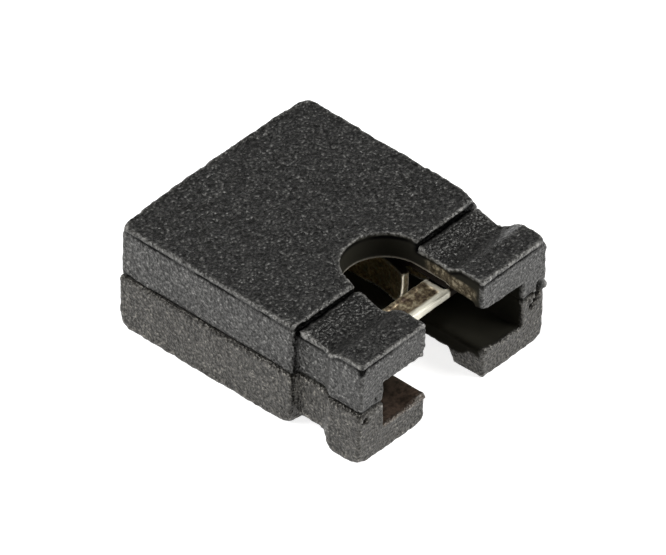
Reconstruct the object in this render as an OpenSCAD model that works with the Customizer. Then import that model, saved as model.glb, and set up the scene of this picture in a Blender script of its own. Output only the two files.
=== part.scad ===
// Two-way jumper shunt for square posts on a 2.54 mm pitch, lying on its flat underside.
// It has two pieces: a moulded housing, open at the post mouths (-Y) and closed at the
// back (+Y), and one stamped and folded spring contact that joins the two posts.
// X runs across the sockets and Z is up. The origin is under the middle of the part.

/* [Housing] */
// Overall width across both sockets
width = 5.04; // [4.9:0.01:5.08]
// Overall length from the mouths to the crown of the back
length = 5.9; // [5.7:0.01:6.2]
// Overall height
height = 2.28; // [2.24:0.01:2.5]
// Length of the two legs in front of the main block
leg_length = 1.66; // [1.6:0.01:1.7]
// Length of the full-size foot at the end of each leg
foot_length = 0.5; // [0.45:0.01:0.55]
// Depth of the neck in the outer sides of the legs
neck_side = 0.145; // [0.05:0.005:0.2]
// Depth of the neck in the top of the legs
neck_top = 0.2; // [0.05:0.01:0.24]
// Depth of the neck in the underside of the legs
neck_under = 0.26; // [0.05:0.01:0.28]
// Bulge of the back face at its middle
back_crown = 0.075; // [0.01:0.005:0.1]
// Sideways offset between the upper and the lower mould half
mould_shift = 0.04; // [0:0.01:0.06]

/* [Notch] */
// Width of the notch between the legs, through the roof
notch_w = 1.68; // [1.6:0.01:1.76]
// Width of the notch between the feet, where it is narrower
notch_foot_w = 1.56; // [1.4:0.01:1.6]
// Depth of the notch from the mouths to its round end
notch_depth = 2.49; // [2.4:0.01:2.6]
// Width of the notch through the floor
floor_notch_w = 1.62; // [1.5:0.01:1.66]
// Sideways offset of the notch through the floor
floor_notch_shift = 0.02; // [0:0.01:0.08]

/* [Cavity] */
// Width of the cavity that holds the contact
cavity_w = 3.8; // [3.78:0.01:3.9]
// Thickness of the floor under the cavity
floor_t = 0.55; // [0.5:0.01:0.58]
// Thickness of the roof over the cavity
roof_t = 0.58; // [0.5:0.01:0.6]
// Thickness of the back wall at its corners
back_t = 0.6; // [0.5:0.01:0.8]
// Drop of the lip over the mouths below the cavity's ceiling
lip_drop = 0.1; // [0:0.01:0.14]
// Length of the lip over the mouths
lip_length = 0.2; // [0.1:0.01:0.3]

/* [Contact] */
// Distance between the two posts
pitch = 2.54; // [2.5:0.01:2.56]
// Thickness of the contact's sheet metal
sheet = 0.18; // [0.14:0.01:0.2]
// Gap between the contact's roof and the cavity's ceiling
roof_gap = 0.04; // [0.02:0.01:0.06]
// Distance from the mouths to the contact's front edge
contact_setback = 0.77; // [0.7:0.01:0.9]
// Free gap between the two spring beams of a socket
beam_gap = 0.44; // [0.3:0.01:0.56]
// Height of the spring beams
beam_h = 0.8; // [0.6:0.01:0.82]
// Outside width of the channel behind each pair of beams
channel_w = 1.1; // [1.04:0.01:1.1]

/* [Hidden] */

$fn = 48;
overlap = 0.01;            // how far cutting solids run past what they cut
arc_steps = 5;             // straight pieces in each rounded edge
curve_steps = 8;           // straight pieces in each longer curve
edge_r = 0.05;             // rounding of the long edges
corner_r = 0.07;           // rounding of the upright corners
parting_bevel = 0.025;     // bevel of each half where the two halves meet
groove_w = 0.09;           // slot in the leg at the foot of the block's step
groove_d = 0.06;

half_h = height / 2;
half_w = (width - mould_shift) / 2;
y_mouth = -length / 2;
y_back = length / 2;
y_step = y_mouth + leg_length;
y_foot = y_mouth + foot_length;
y_neck = y_step - 0.72;            // where the flat part of the neck ends
y_under_foot = y_foot + 0.17;      // the underside's ramp is shorter and steeper
y_under_neck = y_step - 0.81;
y_side_foot = y_foot + 0.22;
y_side_neck = y_step - 0.62;

notch_r = notch_w / 2;
y_notch_end = y_mouth + notch_depth;
y_cavity_end = y_back - back_crown - back_t;
z_ceiling = height - roof_t;

// Contact: one roof of sheet metal, with a folded channel and two beams over each post
z_roof_top = z_ceiling - roof_gap;
z_roof = z_roof_top - sheet;
z_beam_top = z_roof - 0.04;
z_beam = z_beam_top - beam_h;
z_channel = z_beam - 0.02;
y_front = y_mouth + contact_setback;
bridge_w = 0.1;                    // front strip that joins the two sockets
tongue_half = 0.74;                // wider tongue in the middle of the bridge
tongue_depth = 0.56;
pocket_rim = 0.1;                  // coined pocket in the tongue
pocket_depth = 0.03;
strap_half = 0.34;                 // strap over each post, from the bridge to the channel
y_channel = 0.7;                   // front of the folded channel
y_grip = -0.25;                    // where the beams come closest to each other
y_tip = y_front + 1.08;            // free ends of the beams
tip_cut = 0.28;                    // slant of the beams' free ends
tip_straight = 0.25;
root_offset = (channel_w - sheet) / 2;
grip_offset = (beam_gap + sheet) / 2;
tip_offset = root_offset + 0.02;
barb_reach = (cavity_w - pitch - channel_w) / 2;
barb_length = 0.24;

// Points on a circle's arc from angle a0 to a1
function arc(cx, cy, r, a0, a1) =
    [for (i = [0 : arc_steps]) let(a = a0 + (a1 - a0) * i / arc_steps)
        [cx + r * cos(a), cy + r * sin(a)]];

// Value that eases from 0 to 1 as t goes from 0 to 1
function ease(t) = t * t * (3 - 2 * t);

// Points of an S-shaped ramp: the first coordinate runs evenly, the second eases
function ramp(p, q) =
    [for (i = [0 : curve_steps]) let(t = i / curve_steps)
        [p.x + (q.x - p.x) * t, p.y + (q.y - p.y) * ease(t)]];

function swapped(points) = [for (p = points) [p.y, p.x]];
function reversed(points) = [for (i = [len(points) - 1 : -1 : 0]) points[i]];
function mirrored(points) = concat(points, [for (p = reversed(points)) [-p.x, p.y]]);

// Crown of the back face: its distance in front of y_back at a place across the width
function crown_y(x) = y_back - back_crown * pow(x / half_w, 2);

// Right half of the plan outline, from the mouth to the back
plan_right = concat(
    arc(half_w - corner_r, y_mouth + corner_r, corner_r, -90, 0),
    swapped(ramp([y_side_foot, half_w], [y_side_neck, half_w - neck_side])),
    [[half_w - neck_side, y_step]],
    arc(half_w - edge_r, y_step + edge_r, edge_r, -90, 0),
    arc(half_w - corner_r, crown_y(half_w) - corner_r, corner_r, 0, 75),
    [for (i = [curve_steps - 1 : -1 : 0]) let(x = half_w * (i + 0.5) / (curve_steps + 0.5))
        [x, crown_y(x)]]
);

// Side outline of one half, from the parting plane up to the flat face. The neck's ramp
// drops by the given depth between y0 and y1
function side_half(depth, y0, y1) = concat(
    [[y_mouth + parting_bevel, 0], [y_mouth, parting_bevel]],
    arc(y_mouth + edge_r, half_h - edge_r, edge_r, 180, 90),
    ramp([y0, half_h], [y1, half_h - depth]),
    [[y_step - groove_w, half_h - depth],
     [y_step - groove_w, half_h - depth - groove_d],
     [y_step, half_h - depth - groove_d]],
    arc(y_step + edge_r, half_h - edge_r, edge_r, 180, 90),
    arc(y_back - edge_r, half_h - edge_r, edge_r, 90, 0),
    [[y_back, parting_bevel], [y_back - parting_bevel, 0]]
);

// Front outline of one half: its right side, from the parting plane up
front_right = concat(
    [[half_w - parting_bevel, 0], [half_w, parting_bevel]],
    arc(half_w - edge_r, half_h - edge_r, edge_r, 0, 90)
);

// One mould half of the housing, before the cavity and the notch are cut
module shell_half(side_outline) {
    intersection() {
        linear_extrude(half_h) polygon(mirrored(plan_right));
        translate([-width, 0, 0]) rotate([90, 0, 90])
            linear_extrude(2 * width) polygon(side_outline);
        translate([0, length, 0]) rotate([90, 0, 0])
            linear_extrude(2 * length) polygon(mirrored(front_right));
    }
}

// Notch between the legs, open at the mouths: a slot with a round end that may be
// narrower between the feet
module notch(w, foot_w, shift, z0, z1) {
    side = concat([[foot_w / 2, y_mouth - overlap]],
        swapped(ramp([y_side_foot, foot_w / 2], [y_side_neck, w / 2])),
        [[w / 2, y_notch_end - w / 2]]);
    translate([shift, 0, z0]) {
        translate([0, y_notch_end - w / 2, 0]) cylinder(h = z1 - z0, d = w);
        linear_extrude(z1 - z0) polygon(mirrored(side));
    }
}

// Room for the contact and the posts, with a low lip over the mouths
module cavity() {
    translate([-cavity_w / 2, y_mouth - overlap, floor_t])
        cube([cavity_w, y_cavity_end - y_mouth + overlap, z_ceiling - lip_drop - floor_t]);
    translate([-cavity_w / 2, y_mouth + lip_length, floor_t])
        cube([cavity_w, y_cavity_end - y_mouth - lip_length, z_ceiling - floor_t]);
}

module housing() {
    color("#232325")
    difference() {
        translate([0, 0, half_h]) {
            translate([mould_shift / 2, 0, 0])
                shell_half(side_half(neck_top, y_foot, y_neck));
            translate([-mould_shift / 2, 0, 0]) mirror([0, 0, 1])
                shell_half(side_half(neck_under, y_under_foot, y_under_neck));
        }
        cavity();
        notch(notch_w, notch_foot_w, 0, half_h, height + overlap);
        notch(floor_notch_w, floor_notch_w, floor_notch_shift, -overlap, half_h + overlap);
    }
}

// Centreline offset of a beam from its post, from the channel (t = 0) to the free end
function beam_offset(y) =
    y > y_grip
        ? root_offset + (grip_offset - root_offset) * ease((y_channel - y) / (y_channel - y_grip))
        : grip_offset + (tip_offset - grip_offset) * pow((y_grip - y) / (y_grip - y_tip), 2);

beam_path = [for (i = [0 : 2 * curve_steps])
    let(y = y_channel + (y_tip - y_channel) * i / (2 * curve_steps))
    [beam_offset(y), y]];

// Beam's outline from the side, with the lower corner of its free end cut in a curve
beam_side = concat(
    [[y_channel + overlap, z_beam_top], [y_tip, z_beam_top]],
    [for (i = [0 : curve_steps]) let(a = 90 * i / curve_steps)
        [y_tip + tip_cut * (1 - cos(a)),
         z_beam_top - tip_straight - (beam_h - tip_straight) * sin(a)]],
    [[y_channel + overlap, z_beam]]
);

// One spring beam on the +X side of a post
module beam() {
    outer = [for (p = beam_path) [p.x + sheet / 2, p.y]];
    inner = [for (p = reversed(beam_path)) [p.x - sheet / 2, p.y]];
    root = [[root_offset - sheet / 2, y_channel + overlap],
            [root_offset + sheet / 2, y_channel + overlap]];
    intersection() {
        translate([0, 0, z_beam]) linear_extrude(beam_h) polygon(concat(root, outer, inner));
        rotate([90, 0, 90]) linear_extrude(channel_w) polygon(beam_side);
    }
}

// One wall of the folded channel, on the +X side of a post
module channel_wall() {
    translate([channel_w / 2 - sheet, y_channel, z_channel])
        cube([sheet, y_cavity_end - y_channel, z_roof_top - z_channel]);
}

// Barb on the channel's roof that holds the contact against the cavity's side
module barb() {
    x0 = channel_w / 2 - sheet;
    x1 = channel_w / 2 + barb_reach;
    translate([0, 0, z_roof]) linear_extrude(sheet)
        polygon([[x0, y_channel + 0.3], [channel_w / 2, y_channel + 0.3],
                 [x1, y_channel + 0.3 + barb_length], [x1, y_channel + 0.36 + barb_length],
                 [x0, y_channel + 0.36 + barb_length]]);
}

// Everything over and beside one post, drawn about the post's axis
module socket() {
    translate([-strap_half, y_front, z_roof])
        cube([2 * strap_half, y_channel - y_front + overlap, sheet]);
    translate([-channel_w / 2, y_channel, z_roof])
        cube([channel_w, y_cavity_end - y_channel, sheet]);
    channel_wall();
    mirror([1, 0, 0]) channel_wall();
    beam();
    mirror([1, 0, 0]) beam();
    barb();
}

// Bridge between the sockets: a front strip and a tongue with a coined pocket
module bridge() {
    reach = pitch / 2 + strap_half;
    translate([-reach, y_front, z_roof]) cube([2 * reach, bridge_w, sheet]);
    difference() {
        translate([-tongue_half, y_front, z_roof]) cube([2 * tongue_half, tongue_depth, sheet]);
        translate([-tongue_half + pocket_rim, y_front + pocket_rim, z_roof_top - pocket_depth])
            cube([2 * (tongue_half - pocket_rim), tongue_depth - 2 * pocket_rim, sheet]);
    }
}

module contact() {
    color("#c8a552") {
        bridge();
        translate([pitch / 2, 0, 0]) socket();
        mirror([1, 0, 0]) translate([pitch / 2, 0, 0]) socket();
    }
}

housing();
contact();
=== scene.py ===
"""Looks of the two-way jumper shunt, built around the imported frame.

The housing and the contact are rebuilt as dense meshes from their own CAD nodes, with the
moulded grain, ragged edges, seam, flash and pits of a cheap moulding, and the rolled and
sheared surfaces of stamped metal. The mesh work and the sizes of the grain are in
millimetres; all that goes in the scene is in metres.
"""
import math

import bmesh
import bpy
import numpy as np
from mathutils import Matrix, Vector


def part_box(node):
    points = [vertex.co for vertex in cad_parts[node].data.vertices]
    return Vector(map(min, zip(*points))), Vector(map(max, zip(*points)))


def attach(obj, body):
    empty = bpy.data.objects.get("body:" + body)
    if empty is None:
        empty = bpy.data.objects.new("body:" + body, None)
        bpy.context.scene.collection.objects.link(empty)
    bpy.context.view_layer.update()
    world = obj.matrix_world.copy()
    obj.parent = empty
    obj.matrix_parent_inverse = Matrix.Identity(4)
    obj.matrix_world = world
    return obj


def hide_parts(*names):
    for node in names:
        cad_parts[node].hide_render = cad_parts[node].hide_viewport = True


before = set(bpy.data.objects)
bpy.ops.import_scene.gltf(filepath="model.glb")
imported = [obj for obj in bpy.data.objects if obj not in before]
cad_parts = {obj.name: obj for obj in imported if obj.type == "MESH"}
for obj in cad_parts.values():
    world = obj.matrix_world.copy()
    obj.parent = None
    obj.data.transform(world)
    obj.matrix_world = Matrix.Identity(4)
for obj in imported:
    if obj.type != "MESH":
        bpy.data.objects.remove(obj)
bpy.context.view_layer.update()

MM = 0.001                                  # metres in a millimetre
LOW = [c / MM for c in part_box("housing")[0]]
HIGH = [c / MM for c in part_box("housing")[1]]
CONTACT_LOW = [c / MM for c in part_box("contact")[0]]
SEAM_Z = (LOW[2] + HIGH[2]) / 2             # height of the moulding seam
TOP_Z = HIGH[2]
MOUTH_Y = LOW[1]                            # the open end, where the posts go in
BACK_Y = HIGH[1]
SIDE_X = HIGH[0]
LEG_LENGTH = 1.66
FOOT_LENGTH = 0.5
NOTCH_DEPTH = 2.49
NOTCH_R = 0.84                              # radius of the notch's round end, half its width
NECK_DROP = 0.2                             # depth of the necks' tops under the top
STEP_Y = MOUTH_Y + LEG_LENGTH               # front of the main block, behind the legs
FOOT_Y = MOUTH_Y + FOOT_LENGTH              # back of the full-size feet
NOTCH_CENTRE_Y = MOUTH_Y + NOTCH_DEPTH - NOTCH_R
FOOT_NOTCH_X = 0.78                         # inner sides of the feet
CAVITY_X = 1.9                              # half width of the cavity
CAVITY_LOW_Z = 0.55                         # top of its floor
CAVITY_HIGH_Z = 1.70                        # its ceiling


# ---------------------------------------------------------------- camera, stage and light

VIEW_AZIMUTH = -48.84                       # degrees round from the open end
AZIMUTH = math.radians(VIEW_AZIMUTH)
ELEVATION = math.radians(40.12)
ROLL = math.radians(1.233)
DISTANCE = 0.3455
VIEW_WIDTH = 0.012037                       # width that the picture covers at the object
SENSOR = 36.0
AIM = Vector((0, -0.0375, 1.14)) * MM
AIM_RIGHT = 0.0073 * MM                     # small offset of the aim from the object's middle
AIM_UP = 0.0577 * MM


def direction(azimuth, elevation):
    """Unit vector from the object towards a place at that azimuth and elevation."""
    return Vector((math.sin(azimuth) * math.cos(elevation),
                   -math.cos(azimuth) * math.cos(elevation),
                   math.sin(elevation)))


def add_camera():
    """A long lens that looks down on the open end and the left side."""
    back = direction(AZIMUTH, ELEVATION)
    level_right = Vector((math.cos(AZIMUTH), math.sin(AZIMUTH), 0))
    level_up = back.cross(level_right)
    right = level_right * math.cos(ROLL) + level_up * math.sin(ROLL)
    up = level_up * math.cos(ROLL) - level_right * math.sin(ROLL)
    data = bpy.data.cameras.new("camera")
    camera = bpy.data.objects.new("camera", data)
    bpy.context.scene.collection.objects.link(camera)
    place = AIM + right * AIM_RIGHT + up * AIM_UP + back * DISTANCE
    camera.matrix_world = Matrix((
        (right.x, up.x, back.x, place.x),
        (right.y, up.y, back.y, place.y),
        (right.z, up.z, back.z, place.z),
        (0, 0, 0, 1)))
    data.sensor_width = SENSOR
    data.lens = SENSOR * DISTANCE / VIEW_WIDTH
    data.clip_start = 0.01
    data.clip_end = 5.0
    bpy.context.scene.camera = camera


def new_material(name):
    """A material with its node tree emptied, and the tree's nodes and links."""
    material = bpy.data.materials.new(name)
    material.use_nodes = True
    tree = material.node_tree
    tree.nodes.clear()
    return material, tree.nodes, tree.links


def see_ray(nodes, links):
    """Node output that is 1 for rays that show the background: camera, glossy and transmission."""
    path = nodes.new("ShaderNodeLightPath")
    first = nodes.new("ShaderNodeMath")
    first.operation = "MAXIMUM"
    second = nodes.new("ShaderNodeMath")
    second.operation = "MAXIMUM"
    links.new(path.outputs["Is Camera Ray"], first.inputs[0])
    links.new(path.outputs["Is Glossy Ray"], first.inputs[1])
    links.new(first.outputs[0], second.inputs[0])
    links.new(path.outputs["Is Transmission Ray"], second.inputs[1])
    return second.outputs[0]


FLOOR_HALF = 0.6
FLOOR_COLOR = 0.8
FLOOR_GLOW = 0.80                           # added only for rays that show the background


def floor_material():
    """Pale matte paper that shows as white and still takes a shadow."""
    material, nodes, links = new_material("studio_white")
    out = nodes.new("ShaderNodeOutputMaterial")
    paper = nodes.new("ShaderNodeBsdfDiffuse")
    paper.inputs["Color"].default_value = (FLOOR_COLOR, FLOOR_COLOR, FLOOR_COLOR, 1)
    glow = nodes.new("ShaderNodeEmission")
    strength = nodes.new("ShaderNodeMath")
    strength.operation = "MULTIPLY"
    strength.inputs[1].default_value = FLOOR_GLOW
    both = nodes.new("ShaderNodeAddShader")
    links.new(see_ray(nodes, links), strength.inputs[0])
    links.new(strength.outputs[0], glow.inputs["Strength"])
    links.new(paper.outputs[0], both.inputs[0])
    links.new(glow.outputs[0], both.inputs[1])
    links.new(both.outputs[0], out.inputs["Surface"])
    return material


def add_floor():
    """A wide flat sheet under the object."""
    mesh = bpy.data.meshes.new("floor")
    corners = [(-FLOOR_HALF, -FLOOR_HALF, 0), (FLOOR_HALF, -FLOOR_HALF, 0),
               (FLOOR_HALF, FLOOR_HALF, 0), (-FLOOR_HALF, FLOOR_HALF, 0)]
    mesh.from_pydata(corners, [], [(0, 1, 2, 3)])
    mesh.materials.append(floor_material())
    floor = bpy.data.objects.new("floor", mesh)
    bpy.context.scene.collection.objects.link(floor)


SOFTBOX_TURN = 90                           # degrees to each side of the camera
SOFTBOX_ELEVATION = 30
SOFTBOX_DISTANCE = 0.3
SOFTBOX_SIZE = 0.2
SOFTBOX_POWER = 0.9


def add_softbox(name, azimuth):
    """A square area light that faces the object."""
    data = bpy.data.lights.new(name, "AREA")
    data.shape = "SQUARE"
    data.size = SOFTBOX_SIZE
    data.energy = SOFTBOX_POWER
    lamp = bpy.data.objects.new(name, data)
    bpy.context.scene.collection.objects.link(lamp)
    towards = direction(math.radians(azimuth), math.radians(SOFTBOX_ELEVATION))
    lamp.location = towards * SOFTBOX_DISTANCE
    lamp.rotation_mode = "QUATERNION"
    lamp.rotation_quaternion = towards.to_track_quat("Z", "Y")


ROOM_DARK = 0.12                            # the room over the object
HORIZON_WHITE = 1.0                         # the wall behind the floor
WALL_LOW = 0.1                              # sine of the elevation where the wall starts to fade
WALL_HIGH = 0.2


def add_world():
    """A dim room with a white wall low down, which stands behind the floor."""
    world = bpy.data.worlds.new("studio")
    bpy.context.scene.world = world
    world.use_nodes = True
    nodes, links = world.node_tree.nodes, world.node_tree.links
    nodes.clear()
    out = nodes.new("ShaderNodeOutputWorld")
    room = nodes.new("ShaderNodeBackground")
    place = nodes.new("ShaderNodeTexCoord")
    parts = nodes.new("ShaderNodeSeparateXYZ")
    links.new(place.outputs["Generated"], parts.inputs[0])
    wall = ramp_node(nodes, links, parts.outputs["Z"], (WALL_LOW, HORIZON_WHITE),
                     (WALL_HIGH, ROOM_DARK))
    links.new(wall, room.inputs["Color"])
    links.new(room.outputs[0], out.inputs["Surface"])


# ---------------------------------------------------------------- mesh tools, in millimetres

def lattice_hash(cells, seed):
    """A repeatable number from -1 to 1 for each whole-number cell."""
    mixed = (cells[:, 0] * 73856093) ^ (cells[:, 1] * 19349663) ^ (cells[:, 2] * 83492791)
    mixed = (mixed ^ (seed * 2654435761)) & 0xFFFFFFFF
    mixed = ((mixed ^ (mixed >> 15)) * 2246822519) & 0xFFFFFFFF
    mixed = ((mixed ^ (mixed >> 13)) * 3266489917) & 0xFFFFFFFF
    mixed = mixed ^ (mixed >> 16)
    return mixed / 2147483648.0 - 1.0


def noise(points, cell, seed):
    """Smooth noise from -1 to 1, with features about one cell across."""
    scaled = points / cell
    base = np.floor(scaled).astype(np.int64)
    part = scaled - base
    part = part * part * (3 - 2 * part)
    total = np.zeros(len(points))
    for corner in np.ndindex(2, 2, 2):
        weight = np.prod(np.where(corner, part, 1 - part), axis=1)
        total += weight * lattice_hash(base + np.array(corner), seed)
    return total


def band(values, centre, half_width):
    """1 at the centre, falling smoothly to 0 at the half width."""
    return np.clip(1 - ((values - centre) / half_width) ** 2, 0, 1) ** 1.5


def step(values, low, high):
    """Smooth rise from 0 at low to 1 at high; it falls if low is over high."""
    part = np.clip((values - low) / (high - low), 0, 1)
    return part * part * (3 - 2 * part)


def near(points, centre, radius):
    """1 at the centre of a ball, falling smoothly to 0 at its radius."""
    return np.clip(1 - np.sum(((points - centre) / radius) ** 2, axis=1), 0, 1) ** 1.5


def mesh_arrays(mesh):
    """Vertex places and normals, and edges, as arrays."""
    count = len(mesh.vertices)
    places = np.empty(count * 3, np.float32)
    normals = np.empty(count * 3, np.float32)
    mesh.vertices.foreach_get("co", places)
    mesh.vertex_normals.foreach_get("vector", normals)
    edges = np.empty(len(mesh.edges) * 2, np.int32)
    mesh.edges.foreach_get("vertices", edges)
    return (places.reshape(-1, 3).astype(float), normals.reshape(-1, 3).astype(float),
            edges.reshape(-1, 2).astype(np.int64))


def put_places(mesh, places):
    """Move the mesh's vertices to these places."""
    mesh.vertices.foreach_set("co", places.astype(np.float32).ravel())
    mesh.update()


def neighbour_mean(values, edges):
    """Mean of each vertex's neighbours."""
    size = len(values)
    count = np.bincount(edges.ravel(), minlength=size)
    columns = values.reshape(size, -1)
    total = np.stack([np.bincount(edges[:, 0], columns[edges[:, 1], k], size)
                      + np.bincount(edges[:, 1], columns[edges[:, 0], k], size)
                      for k in range(columns.shape[1])], axis=1)
    return (total / np.maximum(count, 1)[:, None]).reshape(values.shape)


def smoothed(places, edges, rounds, weight=1.0):
    """Smoothing that keeps volume: each pass in is followed by a slightly larger one out."""
    weight = np.asarray(weight).reshape(-1, 1)
    for _ in range(rounds):
        places = places + 0.5 * weight * (neighbour_mean(places, edges) - places)
        places = places - 0.51 * weight * (neighbour_mean(places, edges) - places)
    return places


def melted(places, edges, rounds, weight):
    """Plain smoothing where the weight is over 0, which rounds corners off."""
    weight = weight.reshape(-1, 1)
    for _ in range(rounds):
        places = places + weight * (neighbour_mean(places, edges) - places)
    return places


def bend(places, normals, edges):
    """How sharply the surface bends: over 0 at outer edges, under 0 in inner corners."""
    pull = neighbour_mean(places, edges) - places
    return -np.sum(pull * normals, axis=1)


def clean_copy(node):
    """The CAD node's mesh in millimetres, with its split corners welded."""
    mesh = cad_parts[node].data.copy()
    mesh.materials.clear()
    mesh.transform(Matrix.Scale(1 / MM, 4))
    work = bmesh.new()
    work.from_mesh(mesh)
    bmesh.ops.remove_doubles(work, verts=work.verts, dist=1e-4)
    return mesh, work


def work_object(mesh):
    """A passing object that carries the mesh while modifiers act on it."""
    shape = bpy.data.objects.new("work", mesh)
    bpy.context.scene.collection.objects.link(shape)
    return shape


def applied(shape):
    """The work object's mesh with its modifiers applied; the object is removed."""
    bpy.context.view_layer.update()
    found = shape.evaluated_get(bpy.context.evaluated_depsgraph_get())
    made = bpy.data.meshes.new_from_object(found)
    bpy.data.objects.remove(shape)
    return made


def remeshed(mesh, voxel):
    """A new even mesh over the given one."""
    shape = work_object(mesh)
    modifier = shape.modifiers.new("remesh", "REMESH")
    modifier.mode = "VOXEL"
    modifier.voxel_size = voxel
    return applied(shape)


def from_notch(places):
    """Distance of each place from the middle line of the notch, seen from above."""
    return np.hypot(places[:, 0], np.maximum(places[:, 1] - NOTCH_CENTRE_Y, 0))


def tag(mesh, name, values):
    """Store one number per vertex for the materials to read."""
    layer = mesh.attributes.new(name, "FLOAT", "POINT")
    layer.data.foreach_set("value", values.astype(np.float32))


# ---------------------------------------------------------------- housing

VOXEL = 0.033
THIN_GOAL = 178000                          # triangles that the hidden surfaces are thinned for
THIN_BIAS = 1000.0                          # how strongly the thinning keeps to those surfaces
SEAM_CUT = 0.03                             # the CAD halves are cut this far from the seam
SEAM_OVERLAP = 0.012
SEAM_IN_UPPER = 0.048                       # how far the seam is pulled in, on each half
SEAM_IN_LOWER = 0.03
UNDER_EDGE_IN = 0.026                       # depth of the line under the top's edges
JOINT_IN = 0.02                             # depth of the line between block and legs
CORNER_ROUNDS = 36                          # passes of smoothing that round the corners off
UPPER_SEED = 11
LOWER_SEED = 37


def half_mesh(upper):
    """The upper or lower mould half of the housing, closed at the seam."""
    side = 1 if upper else -1
    mesh, work = clean_copy("housing")
    level = SEAM_Z + side * SEAM_CUT
    everything = work.verts[:] + work.edges[:] + work.faces[:]
    cut = bmesh.ops.bisect_plane(work, geom=everything, dist=1e-5, plane_co=(0, 0, level),
                                 plane_no=(0, 0, side), clear_inner=True)
    rim = [e for e in cut["geom_cut"] if isinstance(e, bmesh.types.BMEdge)]
    bmesh.ops.triangle_fill(work, edges=rim, use_beauty=True)
    for vert in work.verts:
        if abs(vert.co.z - level) < 1e-4:
            vert.co.z = SEAM_Z - side * SEAM_OVERLAP
    bmesh.ops.recalc_face_normals(work, faces=work.faces)
    work.to_mesh(mesh)
    work.free()
    return remeshed(mesh, VOXEL)


def outer_skin(places, normals):
    """1 on the housing's outer surfaces, 0 in its cavity and on the wall of the notch."""
    x, y, z = places.T
    across = step(np.abs(x), CAVITY_X + 0.3, CAVITY_X + 0.08)
    up = (step(z, CAVITY_LOW_Z - 0.2, CAVITY_LOW_Z - 0.05)
          * step(z, CAVITY_HIGH_Z + 0.25, CAVITY_HIGH_Z + 0.05))
    along = step(y, MOUTH_Y + 0.03, MOUTH_Y + 0.1) * step(y, BACK_Y - 0.2, BACK_Y - 0.4)
    cavity = across * up * along
    sideways = step(np.abs(normals[:, 2]), 0.75, 0.45)
    floor_edge = 0.26 + 0.34 * step(y, MOUTH_Y + 0.6, MOUTH_Y + 0.12)
    wall = (step(from_notch(places), NOTCH_R + 0.12, NOTCH_R + 0.06) * sideways
            * step(y, MOUTH_Y + 0.04, MOUTH_Y + 0.1)
            * step(z, floor_edge - 0.03, floor_edge + 0.03))
    return 1 - np.maximum(cavity, wall)


def flat_top(places):
    """Height of the housing's flat top over each place, with the necks taken into account."""
    y = places[:, 1]
    drop = NECK_DROP * step(y, FOOT_Y, STEP_Y - 0.72) * (y < STEP_Y - 0.045)
    return TOP_Z - drop


def seam_height(places):
    """Height of the wavy moulding seam beside each place."""
    along = places * (1, 1, 0)
    return SEAM_Z + 0.014 * noise(along, 0.55, 71) + 0.006 * noise(along, 0.16, 72)


def ridges(places, normals, edges):
    """1 along the outer edges of the flat faces, 0 elsewhere."""
    ridge = np.clip(bend(places, normals, edges) / (0.11 * VOXEL), 0, 1)
    for _ in range(2):
        ridge = neighbour_mean(ridge, edges)
    away = step(np.abs(places[:, 2] - SEAM_Z), 0.06, 0.14)
    return np.clip(ridge * 1.7, 0, 1) * away


# Rounded-off corners: place, radius and how far the rounding goes
SOFT_SPOTS = (
    ((-2.46, STEP_Y, 1.75), (0.14, 0.14, 0.75), 0.4),
    ((SIDE_X, MOUTH_Y, TOP_Z), (0.26, 0.22, 0.22), 0.5),
    ((SIDE_X, STEP_Y, TOP_Z), (0.42, 0.40, 0.24), 1.0),
    ((-SIDE_X, STEP_Y, TOP_Z), (0.16, 0.16, 0.12), 0.5),
    ((-SIDE_X, BACK_Y, 0.0), (0.32, 0.32, 0.32), 0.8),
    ((-SIDE_X, BACK_Y, TOP_Z), (0.2, 0.2, 0.2), 0.4),
    ((SIDE_X, BACK_Y, TOP_Z), (0.25, 0.25, 0.2), 0.6),
    ((FOOT_NOTCH_X, MOUTH_Y, 1.6), (0.17, 0.2, 0.22), 0.4),
    ((-FOOT_NOTCH_X, MOUTH_Y, 1.6), (0.15, 0.2, 0.16), 0.25),
    ((-SIDE_X, STEP_Y, 0.0), (0.3, 0.25, 0.25), 0.5),
    ((-SIDE_X, MOUTH_Y, 0.0), (0.24, 0.24, 0.24), 0.5),
    ((SIDE_X, MOUTH_Y, 0.0), (0.3, 0.3, 0.3), 0.5),
    ((-0.8, MOUTH_Y, 0.0), (0.2, 0.2, 0.2), 0.3),
)

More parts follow.
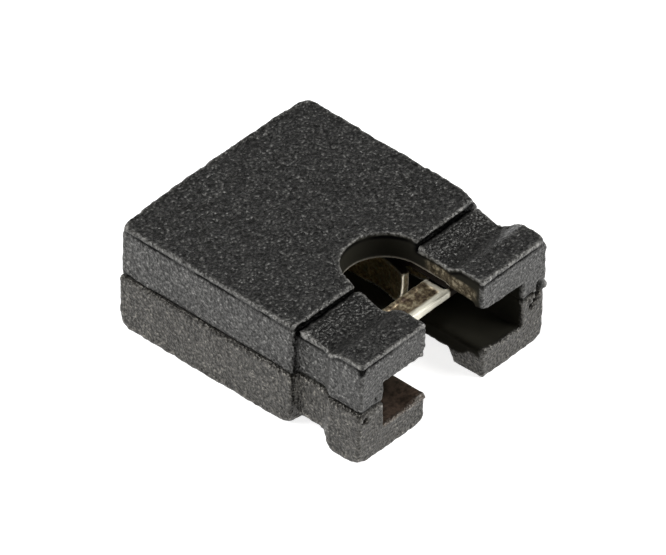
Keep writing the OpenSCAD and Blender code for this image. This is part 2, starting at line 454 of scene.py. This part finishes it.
# Pits (under 0) and nubs (over 0) left by the moulding: place, radii, height
BLEMISHES = (
    ((2.33, MOUTH_Y, 1.27), (0.075, 0.12, 0.13), -0.16),
    ((2.29, MOUTH_Y, 1.10), (0.09, 0.12, 0.12), -0.18),
    ((2.20, MOUTH_Y, 0.97), (0.13, 0.12, 0.085), -0.18),
    ((2.12, MOUTH_Y, 0.87), (0.08, 0.10, 0.07), -0.14),
    ((2.21, MOUTH_Y, 1.16), (0.05, 0.10, 0.15), 0.05),
    ((2.11, MOUTH_Y, 1.03), (0.045, 0.10, 0.08), 0.05),
    ((2.53, MOUTH_Y + 0.06, 1.17), (0.12, 0.16, 0.12), 0.07),
    ((2.53, MOUTH_Y + 0.1, 1.5), (0.1, 0.2, 0.3), 0.02),
    ((1.86, MOUTH_Y + 0.02, 1.12), (0.1, 0.12, 0.09), 0.07),
    ((1.88, MOUTH_Y + 0.02, 1.34), (0.1, 0.12, 0.2), 0.035),
    ((-2.36, MOUTH_Y, 0.96), (0.11, 0.12, 0.085), -0.17),
    ((-2.44, MOUTH_Y, 2.13), (0.11, 0.11, 0.09), -0.05),
    ((-2.47, MOUTH_Y, 1.03), (0.05, 0.08, 0.05), 0.04),
    ((-2.24, MOUTH_Y, 1.03), (0.09, 0.08, 0.045), 0.045),
    ((-2.10, MOUTH_Y, 1.02), (0.1, 0.08, 0.04), 0.04),
    ((-1.96, MOUTH_Y, 1.07), (0.06, 0.08, 0.05), 0.035),
    ((-2.07, MOUTH_Y, 1.32), (0.04, 0.08, 0.04), -0.05),
    ((-0.87, MOUTH_Y + 0.01, 1.62), (0.06, 0.08, 0.06), 0.05),
    ((-0.84, MOUTH_Y + 0.01, 0.62), (0.06, 0.1, 0.08), 0.05),
    ((-2.52, 2.86, 1.07), (0.08, 0.08, 0.06), 0.03),
    ((-2.34, STEP_Y - 0.17, 2.08), (0.09, 0.1, 0.07), 0.04),
    ((-0.83, STEP_Y - 0.06, 2.1), (0.07, 0.07, 0.07), 0.05),
    ((0.8, MOUTH_Y + 0.24, 2.26), (0.05, 0.05, 0.05), 0.035),
    ((0.84, STEP_Y - 0.5, 2.08), (0.06, 0.07, 0.06), 0.035),
)


def soften(places, edges):
    """Round off the corners that the mould leaves soft."""
    weight = np.zeros(len(places))
    for spot, radii, amount in SOFT_SPOTS:
        weight = np.maximum(weight, amount * near(places, np.array(spot), np.array(radii)))
    return melted(places, edges, CORNER_ROUNDS, weight)


def crevice_depth(places, normals, upper):
    """How far in the seam, the line under the edges and the joint at the step are pulled."""
    x, y, z = places.T
    upright = step(np.abs(normals[:, 2]), 0.75, 0.4)
    height = z - seam_height(places)
    fade = step(y, 2.86, 2.66) * step(x, 2.45, 2.2)
    fade *= 1 - 0.7 * band(y, STEP_Y + 0.05, 0.28) * step(x, -2.2, -2.35)
    if upper:
        seam = SEAM_IN_UPPER * step(height, 0.105, 0.0) ** 1.3 * fade
    else:
        seam = SEAM_IN_LOWER * step(height, -0.035, 0.0) * fade
    broken = 0.7 + 0.5 * noise(places, 0.3, 81)
    under_edge = UNDER_EDGE_IN * broken * band(flat_top(places) - z, 0.100, 0.055) * upper
    joint = JOINT_IN * band(y, STEP_Y - 0.01, 0.035) * step(np.abs(x), 2.1, 2.25) * upper
    joint *= step(np.abs(x), 2.46, 2.40)
    return seam * upright, under_edge * upright, joint * upright


def step_shadow(places, normals, upper):
    """1 on the narrow wall between the block's top and the legs, which stays dark."""
    x, y, z = places.T
    wall = band(y, STEP_Y - 0.01, 0.1) * step(z, 1.9, 2.0) * step(z, TOP_Z - 0.05, TOP_Z - 0.09)
    wall *= step(np.abs(x), NOTCH_R - 0.04, NOTCH_R + 0.02)
    wall *= step(np.abs(x), SIDE_X - 0.1, SIDE_X - 0.2)
    return wall * step(normals[:, 2], 0.85, 0.6) * upper


def raised_edges(places, normals):
    """How far the legs' back edges and the floor's edges beside the notch stand up."""
    x, y, z = places.T
    up = step(normals[:, 2], 0.3, 0.8)
    on_leg = step(np.abs(x), NOTCH_R - 0.04, NOTCH_R) * step(z, 1.85, 1.95)
    leg = 0.08 * step(y, STEP_Y - 0.6, STEP_Y - 0.12) * step(y, STEP_Y - 0.02, STEP_Y - 0.07)
    floor = step(np.abs(z - CAVITY_LOW_Z), 0.2, 0.1) * step(y, STEP_Y - 0.35, STEP_Y - 0.7)
    edge = 0.1 * floor * step(np.abs(x), 1.3, 0.85)
    return (leg * on_leg + edge) * up


def ceiling_edge(places):
    """1 along the sharp edge of the ceiling round the notch, where a pale highlight is painted."""
    apart = np.hypot(from_notch(places) - NOTCH_R, places[:, 2] - CAVITY_HIGH_Z)
    return step(apart, 0.045, 0.02) * step(places[:, 1], FOOT_Y - 0.1, FOOT_Y + 0.05)


def floor_reflection(places, normals):
    """1 on the floor of the left opening towards the mouth, where a brown reflection is painted.
    """
    x, y, z = places.T
    floor = step(normals[:, 2], 0.4, 0.7) * step(np.abs(z - CAVITY_LOW_Z), 0.25, 0.15)
    return floor * step(x, -0.75, -0.85) * step(y, MOUTH_Y + 1.2, MOUTH_Y + 0.1)


def glowing_wall(places, normals):
    """1 on the right leg's rough wall beside the notch, where a pale glow, light thrown back from
    the gold contact, is painted.
    """
    x, y, z = places.T
    wall = step(np.abs(x - NOTCH_R), 0.12, 0.07) * step(normals[:, 0], -0.3, -0.7)
    high = step(z, 1.70, 1.76) * step(z, 2.04, 1.96)
    along = step(y, STEP_Y - 0.15, STEP_Y - 0.4) * step(y, MOUTH_Y + 0.1, MOUTH_Y + 0.3)
    return wall * high * along


def blemished(places):
    """Height of the pits and nubs at each place, and where the pits and the nubs are."""
    height = np.zeros(len(places))
    pit = np.zeros(len(places))
    nub = np.zeros(len(places))
    for spot, radii, size in BLEMISHES:
        amount = near(places, np.array(spot), np.array(radii))
        height += size * amount
        pit = np.maximum(pit, amount * (size < 0))
        nub = np.maximum(nub, amount * (size > 0.03))
    return height, pit, nub


def grain_height(places, outer, seed):
    """Slow waves in the surface, and the coarse part of its grain."""
    lift = 0.006 * noise(places, 1.1, seed)
    lift += 0.005 * noise(places, 0.3, seed + 1)
    return lift + (0.001 + 0.007 * outer) * noise(places, 0.08, seed + 2)


def sculpt_half(mesh, upper, seed):
    """Give one mould half its surface, and the numbers that its material reads."""
    places, normals, edges = mesh_arrays(mesh)
    places = soften(smoothed(places, edges, 1), edges)
    put_places(mesh, places)
    places, normals, edges = mesh_arrays(mesh)
    ridge = ridges(places, normals, edges)
    outer = outer_skin(places, normals)
    shown = np.maximum(outer, step(places[:, 2], 1.93, 2.0))
    seam, under_edge, joint = crevice_depth(places, normals, upper)
    height, pit, nub = blemished(places)
    wall_glow = glowing_wall(places, normals)
    beads = 0.014 + 0.011 * noise(places, 0.09, seed + 3) + 0.004 * noise(places, 0.3, seed + 4)
    lift = grain_height(places, outer, seed) + ridge * beads * shown
    lift += raised_edges(places, normals) + height
    lift -= (seam + under_edge + joint) * shown
    lift += 0.03 * wall_glow * noise(places * (0.4, 0.4, 1), 0.07, seed + 5)
    put_places(mesh, places + normals * lift[:, None])
    # painted highlight: the ridge tag makes the beaded edges and the nubs pale, patchily and most
    # on the top
    on_top = step(flat_top(places) - places[:, 2], 0.12, 0.06) if upper else 0.25
    patchy = 0.85 + 0.45 * noise(places, 0.55, seed + 6)
    ridge = ridge ** 3 * np.maximum(on_top, 0.15) * np.clip(patchy, 0.15, 1)
    # painted shade: the seam, the line under the edges, the joint, the pits and the step's wall
    # are made near black
    dark = seam / 0.028 + under_edge / 0.018 + joint / 0.03 + pit * 3
    dark += step_shadow(places, normals, upper)
    tag(mesh, "ridge", np.maximum(ridge, nub) * shown)
    tag(mesh, "outer", outer)
    tag(mesh, "crevice", np.clip(dark, 0, 1) * shown)
    # painted glow on the right wall, light thrown back from the gold contact
    tag(mesh, "wall_glow", wall_glow)
    tag(mesh, "lip", ceiling_edge(places))
    # painted brown reflection on the floor of the left opening
    tag(mesh, "brown", floor_reflection(places, normals))
    tag(mesh, "lower", np.full(len(places), 0.0 if upper else 1.0))


def hidden(places):
    """True where little can be seen: deep in the cavity and on the underside."""
    x, y, z = places.T
    cavity = ((np.abs(x) < CAVITY_X + 0.1) & (z > CAVITY_LOW_Z - 0.1)
              & (z < CAVITY_HIGH_Z + 0.1) & (y > STEP_Y) & (y < BACK_Y - 0.5)
              & (from_notch(places) > NOTCH_R + 0.2))
    under = (z < 0.05) & (np.abs(x) < SIDE_X - 0.15) & (y > MOUTH_Y + 0.15)
    return cavity | (under & (y < BACK_Y - 0.2))


def thinned(mesh):
    """The mesh with triangles taken out of its hidden surfaces only."""
    triangles = sum(len(p.vertices) - 2 for p in mesh.polygons)
    places = mesh_arrays(mesh)[0]
    shape = work_object(mesh)
    group = shape.vertex_groups.new(name="hidden")
    group.add(np.nonzero(hidden(places))[0].tolist(), 1.0, "REPLACE")
    modifier = shape.modifiers.new("thin", "DECIMATE")
    modifier.ratio = min(THIN_GOAL / triangles, 1.0)
    modifier.vertex_group = "hidden"
    modifier.vertex_group_factor = THIN_BIAS
    return applied(shape)


def add_housing():
    """The black housing: two mould halves, joined with their small offset at the seam."""
    halves = []
    for upper, seed in ((True, UPPER_SEED), (False, LOWER_SEED)):
        mesh = half_mesh(upper)
        sculpt_half(mesh, upper, seed)
        halves.append(work_object(mesh))
    joiner = halves[0].modifiers.new("join", "BOOLEAN")
    joiner.operation = "UNION"
    joiner.solver = "MANIFOLD"
    joiner.object = halves[1]
    mesh = applied(halves[0])
    bpy.data.objects.remove(halves[1])
    add_piece(thinned(mesh), "moulded_housing", plastic_material(), "housing")


def add_piece(mesh, name, material, node):
    """Put a finished mesh in the scene in place of a CAD node."""
    mesh.name = name
    mesh.transform(Matrix.Scale(MM, 4))
    mesh.materials.clear()
    mesh.materials.append(material)
    mesh.polygons.foreach_set("use_smooth", [True] * len(mesh.polygons))
    piece = bpy.data.objects.new(name, mesh)
    bpy.context.scene.collection.objects.link(piece)
    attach(piece, "root")
    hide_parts(node)


def ramp_node(nodes, links, source, *stops):
    """A colour ramp over the source, with its stops given as (place, grey or colour)."""
    ramp = nodes.new("ShaderNodeValToRGB")
    while len(ramp.color_ramp.elements) < len(stops):
        ramp.color_ramp.elements.new(0.5)
    for element, (place, value) in zip(ramp.color_ramp.elements, stops):
        element.position = place
        colour = value if isinstance(value, tuple) else (value, value, value)
        element.color = (*colour, 1)
    links.new(source, ramp.inputs["Fac"])
    return ramp.outputs["Color"]


def noise_node(nodes, links, cell, detail=2.0, rough=0.5):
    """Object-space noise with cells of the given size in millimetres."""
    place = nodes.new("ShaderNodeTexCoord")
    grain = nodes.new("ShaderNodeTexNoise")
    grain.inputs["Scale"].default_value = 1 / (cell * MM)
    grain.inputs["Detail"].default_value = detail
    grain.inputs["Roughness"].default_value = rough
    links.new(place.outputs["Object"], grain.inputs["Vector"])
    return grain.outputs["Fac"]


def mixed(nodes, links, blend, factor, first, second):
    """Two colours put together; a plain number or colour may stand for either."""
    mix = nodes.new("ShaderNodeMix")
    mix.data_type = "RGBA"
    mix.blend_type = blend
    mix.clamp_factor = True
    sockets = {"Factor": mix.inputs[0], "A": mix.inputs[6], "B": mix.inputs[7]}
    for name, value in (("Factor", factor), ("A", first), ("B", second)):
        if isinstance(value, bpy.types.NodeSocket):
            links.new(value, sockets[name])
        elif isinstance(value, tuple):
            sockets[name].default_value = (*value, 1)
        else:
            sockets[name].default_value = value
    return mix.outputs[2]


def tag_node(nodes, name):
    """The number that a mesh carries under this name."""
    node = nodes.new("ShaderNodeAttribute")
    node.attribute_name = name
    return node.outputs["Fac"]


GRAIN_CELL = 0.05                           # cells of the noises, in millimetres
BEAD_CELL = 0.075
STREAK_CELL = 0.13
BLOTCH_CELL = 0.12
PLASTIC_IOR = 1.7
GRAIN_BUMP = 0.05 * MM
INNER_BLACK = (0.019, 0.018, 0.0135)
INNER_GLOSS = (0.02, 0.02, 0.02)
INNER_ROUGH = (0.85, 0.85, 0.85)
OUTER_ROUGH = (0.4, 0.4, 0.4)
# painted shade in the seam, grooves and pits, with little gloss
CREVICE_SHADE = (0.0015, 0.0015, 0.0014)
CREVICE_GLOSS = (0.03, 0.03, 0.03)
# painted highlight on the beaded edges and nubs
BEAD_HIGHLIGHT = (0.26, 0.254, 0.237)
# painted highlight along the ceiling's edge
LIP_HIGHLIGHT = (0.55, 0.51, 0.43)
# painted warm light: reflections are tinted warm, most on the lower half
UPPER_SHEEN = (1.0, 0.985, 0.945)
LOWER_SHEEN = (1.0, 0.955, 0.87)
LOWER_WARM_LIGHT = (1.0, 0.93, 0.82)


def multiplied(nodes, links, first, second):
    """The product of two node outputs."""
    product = nodes.new("ShaderNodeMath")
    product.operation = "MULTIPLY"
    links.new(first, product.inputs[0])
    links.new(second, product.inputs[1])
    return product.outputs[0]


def plastic_colour(nodes, links, grain, tags):
    """Near-black plastic, with painted light: highlights on the beaded edges and the ceiling's
    edge, warm bounce light on the lower half, a brown reflection on the left floor, a pale glow on
    the rough right wall, and shade in the crevices.
    """
    colour = ramp_node(nodes, links, grain, (0.34, (0.002, 0.002, 0.0019)),
                       (0.52, (0.0055, 0.0054, 0.0050)), (0.66, (0.024, 0.0235, 0.0218)),
                       (0.74, (0.16, 0.158, 0.148)))
    # painted warm bounce light: the lower mould half is coloured warmer
    colour = mixed(nodes, links, "MULTIPLY", tags["lower"], colour, LOWER_WARM_LIGHT)
    colour = mixed(nodes, links, "MIX", tags["outer"], INNER_BLACK, colour)
    streaks = noise_node(nodes, links, STREAK_CELL, 4.0, 0.7)
    # painted brown reflection on the left opening's floor
    reflected_brown = ramp_node(nodes, links, streaks, (0.36, (0.024, 0.018, 0.013)),
                     (0.62, (0.095, 0.066, 0.050)))
    colour = mixed(nodes, links, "MIX", tags["brown"], colour, reflected_brown)
    # painted pale glow on the right leg's wall, light thrown back from the gold contact
    glow_colour = ramp_node(nodes, links, streaks, (0.34, (0.03, 0.024, 0.016)),
                            (0.5, (0.085, 0.070, 0.046)), (0.62, (0.30, 0.26, 0.18)))
    colour = mixed(nodes, links, "MIX", tags["wall_glow"], colour, glow_colour)
    # painted highlights on the beaded edges and nubs
    patches = ramp_node(nodes, links, noise_node(nodes, links, BEAD_CELL, 1.0),
                        (0.40, 0.1), (0.60, 1.0))
    bright = multiplied(nodes, links, tags["ridge"], patches)
    colour = mixed(nodes, links, "MIX", bright, colour, BEAD_HIGHLIGHT)
    # painted highlight along the ceiling's edge round the notch
    colour = mixed(nodes, links, "MIX", tags["lip"], colour, LIP_HIGHLIGHT)
    # painted shade in the crevices
    return mixed(nodes, links, "MIX", tags["crevice"], colour, CREVICE_SHADE)


def plastic_gloss(nodes, links, grain, tags):
    """Strength of the plastic's gloss: uneven with the grain, little inside, and little in
    crevices as part of their painted shade.
    """
    gloss = ramp_node(nodes, links, grain, (0.34, 0.2), (0.55, 0.5), (0.7, 1.0))
    gloss = mixed(nodes, links, "MIX", tags["outer"], INNER_GLOSS, gloss)
    return mixed(nodes, links, "MIX", tags["crevice"], gloss, CREVICE_GLOSS)


def plastic_material():
    """Spark-eroded black plastic, which mirrors the pale floor on its upright faces."""
    material, nodes, links = new_material("moulded_plastic")
    out = nodes.new("ShaderNodeOutputMaterial")
    shader = nodes.new("ShaderNodeBsdfPrincipled")
    names = ("outer", "ridge", "crevice", "wall_glow", "lip", "lower", "brown")
    tags = {name: tag_node(nodes, name) for name in names}
    grain = noise_node(nodes, links, GRAIN_CELL, 1.5)
    links.new(plastic_colour(nodes, links, grain, tags), shader.inputs["Base Color"])
    links.new(plastic_gloss(nodes, links, grain, tags), shader.inputs["Specular IOR Level"])
    shader.inputs["IOR"].default_value = PLASTIC_IOR
    rough = mixed(nodes, links, "MIX", tags["outer"], INNER_ROUGH, OUTER_ROUGH)
    links.new(rough, shader.inputs["Roughness"])
    # painted warm light: reflections tinted warm, warmest on the lower half
    sheen = mixed(nodes, links, "MIX", tags["lower"], UPPER_SHEEN, LOWER_SHEEN)
    links.new(sheen, shader.inputs["Specular Tint"])
    bump = nodes.new("ShaderNodeBump")
    bump.inputs["Distance"].default_value = GRAIN_BUMP
    links.new(tags["outer"], bump.inputs["Strength"])
    links.new(grain, bump.inputs["Height"])
    links.new(bump.outputs["Normal"], shader.inputs["Normal"])
    links.new(shader.outputs[0], out.inputs["Surface"])
    return material


# ---------------------------------------------------------------- contact

CONTACT_VOXEL = 0.026
SHARP_BEND = 0.0025                         # bend over which an edge counts as fully sharp
TONGUE_HALF = 0.74
TONGUE_LENGTH = 1.08
RIM = 0.1                                   # plain metal round the coined pocket


def contact_areas(places, normals, edges):
    """Sharp edges, shaded straps, the sheared front and the coined pocket, each as 0 to 1."""
    x, y, z = places.T
    front = CONTACT_LOW[1]
    inside = (step(np.abs(x), TONGUE_HALF - RIM + 0.03, TONGUE_HALF - RIM - 0.03)
              * step(y, front + RIM + 0.01, front + RIM + 0.07)
              * step(y, front + TONGUE_LENGTH, front + TONGUE_LENGTH - 0.06))
    pocket = inside * step(normals[:, 2], 0.4, 0.8)
    tongue = (step(np.abs(x), TONGUE_HALF + 0.05, TONGUE_HALF + 0.01)
              * step(y, front + TONGUE_LENGTH + 0.05, front + TONGUE_LENGTH) * step(z, 1.3, 1.4))
    shade = (1 - tongue) * step(z, 1.36, 1.44)
    edge = np.clip(bend(places, normals, edges) / SHARP_BEND, 0, 1)
    edge = np.clip(1.5 * neighbour_mean(edge, edges), 0, 1)
    edge = np.maximum(edge * 0.8, tongue * step(normals[:, 2], 0.1, 0.5))
    sheared = step(y, front + 0.13, front + 0.08) * step(normals[:, 2], -0.6, -0.2)
    return {"edge": edge * (1 - pocket) * (1 - shade), "shade": shade,
            "front": sheared * (1 - shade), "pocket": pocket}


def add_contact():
    """The one folded strip of gold-plated metal."""
    mesh, work = clean_copy("contact")
    work.to_mesh(mesh)
    work.free()
    mesh = remeshed(mesh, CONTACT_VOXEL)
    places, normals, edges = mesh_arrays(mesh)
    put_places(mesh, smoothed(places, edges, 1))
    places, normals, edges = mesh_arrays(mesh)
    areas = contact_areas(places, normals, edges)
    lift = 0.004 * noise(places, 0.25, 91) + 0.003 * noise(places, 0.07, 92)
    lift += 0.010 * areas["pocket"] * noise(places, 0.08, 93)
    lift += 0.006 * areas["edge"] * noise(places, 0.12, 94)
    put_places(mesh, places + normals * lift[:, None])
    for name, values in areas.items():
        tag(mesh, name, values)
    add_piece(mesh, "stamped_contact", gold_material(), "contact")


# painted highlights: pale on the sharp edges and the tongue's top
EDGE_HIGHLIGHT = (1.0, 0.95, 0.80)
# painted highlight: near white and little metal on the sheared front
FRONT_HIGHLIGHT = (1.0, 0.96, 0.80)
SHADE_BROWN = (0.014, 0.0105, 0.008)
BLOTCH_BUMP = 0.02 * MM


def gold_material():
    """Worn gold plate, blotchy, with painted light: a dark brown reflection in the pocket, pale
    highlights on the edges, a pale matte highlight on the sheared front, and shade on the straps.
    """
    material, nodes, links = new_material("gold_plate")
    out = nodes.new("ShaderNodeOutputMaterial")
    shader = nodes.new("ShaderNodeBsdfPrincipled")
    edge, front, pocket, shade = (
        tag_node(nodes, name) for name in ("edge", "front", "pocket", "shade"))
    blotches = noise_node(nodes, links, BLOTCH_CELL, 3.0, 0.65)
    plate = ramp_node(nodes, links, blotches, (0.34, (0.36, 0.26, 0.12)),
                      (0.5, (0.74, 0.60, 0.34)), (0.64, (0.95, 0.84, 0.58)))
    # painted dark brown reflection in the coined pocket, with less metal
    pocket_reflection = ramp_node(nodes, links, blotches, (0.36, (0.07, 0.045, 0.03)),
                        (0.52, (0.30, 0.23, 0.14)), (0.66, (0.75, 0.66, 0.44)))
    colour = mixed(nodes, links, "MIX", pocket, plate, pocket_reflection)
    # painted highlight on the sharp edges and the tongue's top
    colour = mixed(nodes, links, "MIX", edge, colour, EDGE_HIGHLIGHT)
    # painted highlight on the sheared front, made matte so the floor's light shows on it
    colour = mixed(nodes, links, "MIX", front, colour, FRONT_HIGHLIGHT)
    colour = mixed(nodes, links, "MIX", shade, colour, SHADE_BROWN)
    metal = mixed(nodes, links, "MIX", pocket, (1.0, 1.0, 1.0), (0.6, 0.6, 0.6))
    metal = mixed(nodes, links, "MIX", edge, metal, (0.55, 0.55, 0.55))
    metal = mixed(nodes, links, "MIX", front, metal, (0.15, 0.15, 0.15))
    metal = mixed(nodes, links, "MIX", shade, metal, (0.0, 0.0, 0.0))
    gloss = mixed(nodes, links, "MIX", shade, (0.5, 0.5, 0.5), (0.03, 0.03, 0.03))
    links.new(gloss, shader.inputs["Specular IOR Level"])
    rough = ramp_node(nodes, links, blotches, (0.35, 0.5), (0.65, 0.3))
    links.new(colour, shader.inputs["Base Color"])
    links.new(metal, shader.inputs["Metallic"])
    links.new(rough, shader.inputs["Roughness"])
    bump = nodes.new("ShaderNodeBump")
    bump.inputs["Strength"].default_value = 0.6
    bump.inputs["Distance"].default_value = BLOTCH_BUMP
    links.new(blotches, bump.inputs["Height"])
    links.new(bump.outputs["Normal"], shader.inputs["Normal"])
    links.new(shader.outputs[0], out.inputs["Surface"])
    return material


# ---------------------------------------------------------------- assembly

bpy.context.scene.view_settings.view_transform = "Standard"
add_camera()
add_floor()
add_world()
add_softbox("softbox_left", VIEW_AZIMUTH - SOFTBOX_TURN)
add_softbox("softbox_right", VIEW_AZIMUTH + SOFTBOX_TURN)
add_housing()
add_contact()
